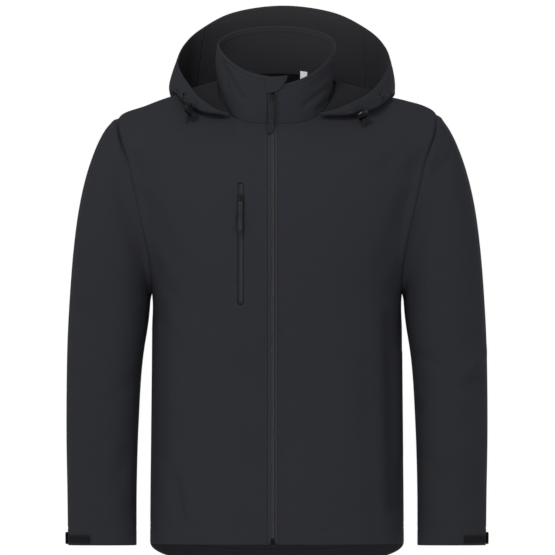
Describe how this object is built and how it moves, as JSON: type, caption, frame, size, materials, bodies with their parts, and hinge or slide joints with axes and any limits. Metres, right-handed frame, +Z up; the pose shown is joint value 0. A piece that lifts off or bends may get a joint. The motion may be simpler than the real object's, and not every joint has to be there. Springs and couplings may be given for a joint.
{
  "type": "hooded softshell jacket",
  "caption": "Hooded softshell jacket as worn, hollow, with hanging sleeves, stand collar, front zip, chest pocket zip and cuff tabs.",
  "frame": {"origin": "where the wearer's shoulders carry the jacket: the middle of the neck opening, level with the shoulder line beside the hood", "axes": "+Z up, the front faces -Y, the wearer's right is at -X and the wearer's left at +X"},
  "size_m": [0.6688, 0.2966, 0.8901],
  "materials": {
    "softshell": "matt tight woven face bonded to a brushed inside",
    "zip": "satin tape with a reverse coil",
    "hardware": "satin moulded",
    "grip": "soft moulded",
    "loops": "touch fastener loops",
    "cord": "round braid",
    "label": "satin ribbon, blank"
  },
  "bodies": {
    "garment": {"front_right": "softshell", "front_left": "softshell", "back": "softshell", "sleeve_right": "softshell", "sleeve_left": "softshell", "collar": "softshell", "hood_left": "softshell", "hood_centre": "softshell", "hood_right": "softshell", "chin_guard": "softshell", "cuff_tab_right": "softshell", "cuff_tab_left": "softshell", "main_zip_tape_right": "zip", "main_zip_tape_left": "zip", "main_zip_coil": "zip", "pocket_zip_tape_right": "zip", "pocket_zip_tape_left": "zip", "pocket_zip_coil": "zip", "main_slider": "hardware", "main_zip_box": "hardware", "pocket_slider": "hardware", "cord_lock_right": "hardware", "cord_lock_left": "hardware", "hood_eyelet_right": "hardware", "hood_eyelet_left": "hardware", "cuff_patch_right": "loops", "cuff_patch_left": "loops", "hood_cord_right": "cord", "hood_cord_end_right": "cord", "hood_cord_left": "cord", "hood_cord_end_left": "cord", "neck_label": "label"},
    "main_pull": {"main_pull": "grip"},
    "pocket_pull": {"pocket_pull": "grip"},
    "plunger_right": {"cord_plunger_right": "grip"},
    "plunger_left": {"cord_plunger_left": "grip"}
  },
  "joints": [
    {"name": "main_pull_swing", "type": "hinge", "parent": "garment", "child": "main_pull", "pos_m": [-0.0065, -0.08523, 0.00241], "axis": [-1, 0, 0], "range_deg": [0, 140]},
    {"name": "pocket_pull_swing", "type": "hinge", "parent": "garment", "child": "pocket_pull", "pos_m": [-0.0572, -0.12791, -0.15541], "axis": [-0.9976, 0.0699, 0], "range_deg": [0, 150]},
    {"name": "right_lock_press", "type": "slide", "parent": "garment", "child": "plunger_right", "axis": [0.7071, 0, -0.7071], "range_m": [0, 0.003], "stiffness_N_per_m": 400},
    {"name": "left_lock_press", "type": "slide", "parent": "garment", "child": "plunger_left", "axis": [-0.891, 0, -0.454], "range_m": [0, 0.003], "stiffness_N_per_m": 400}
  ]
}
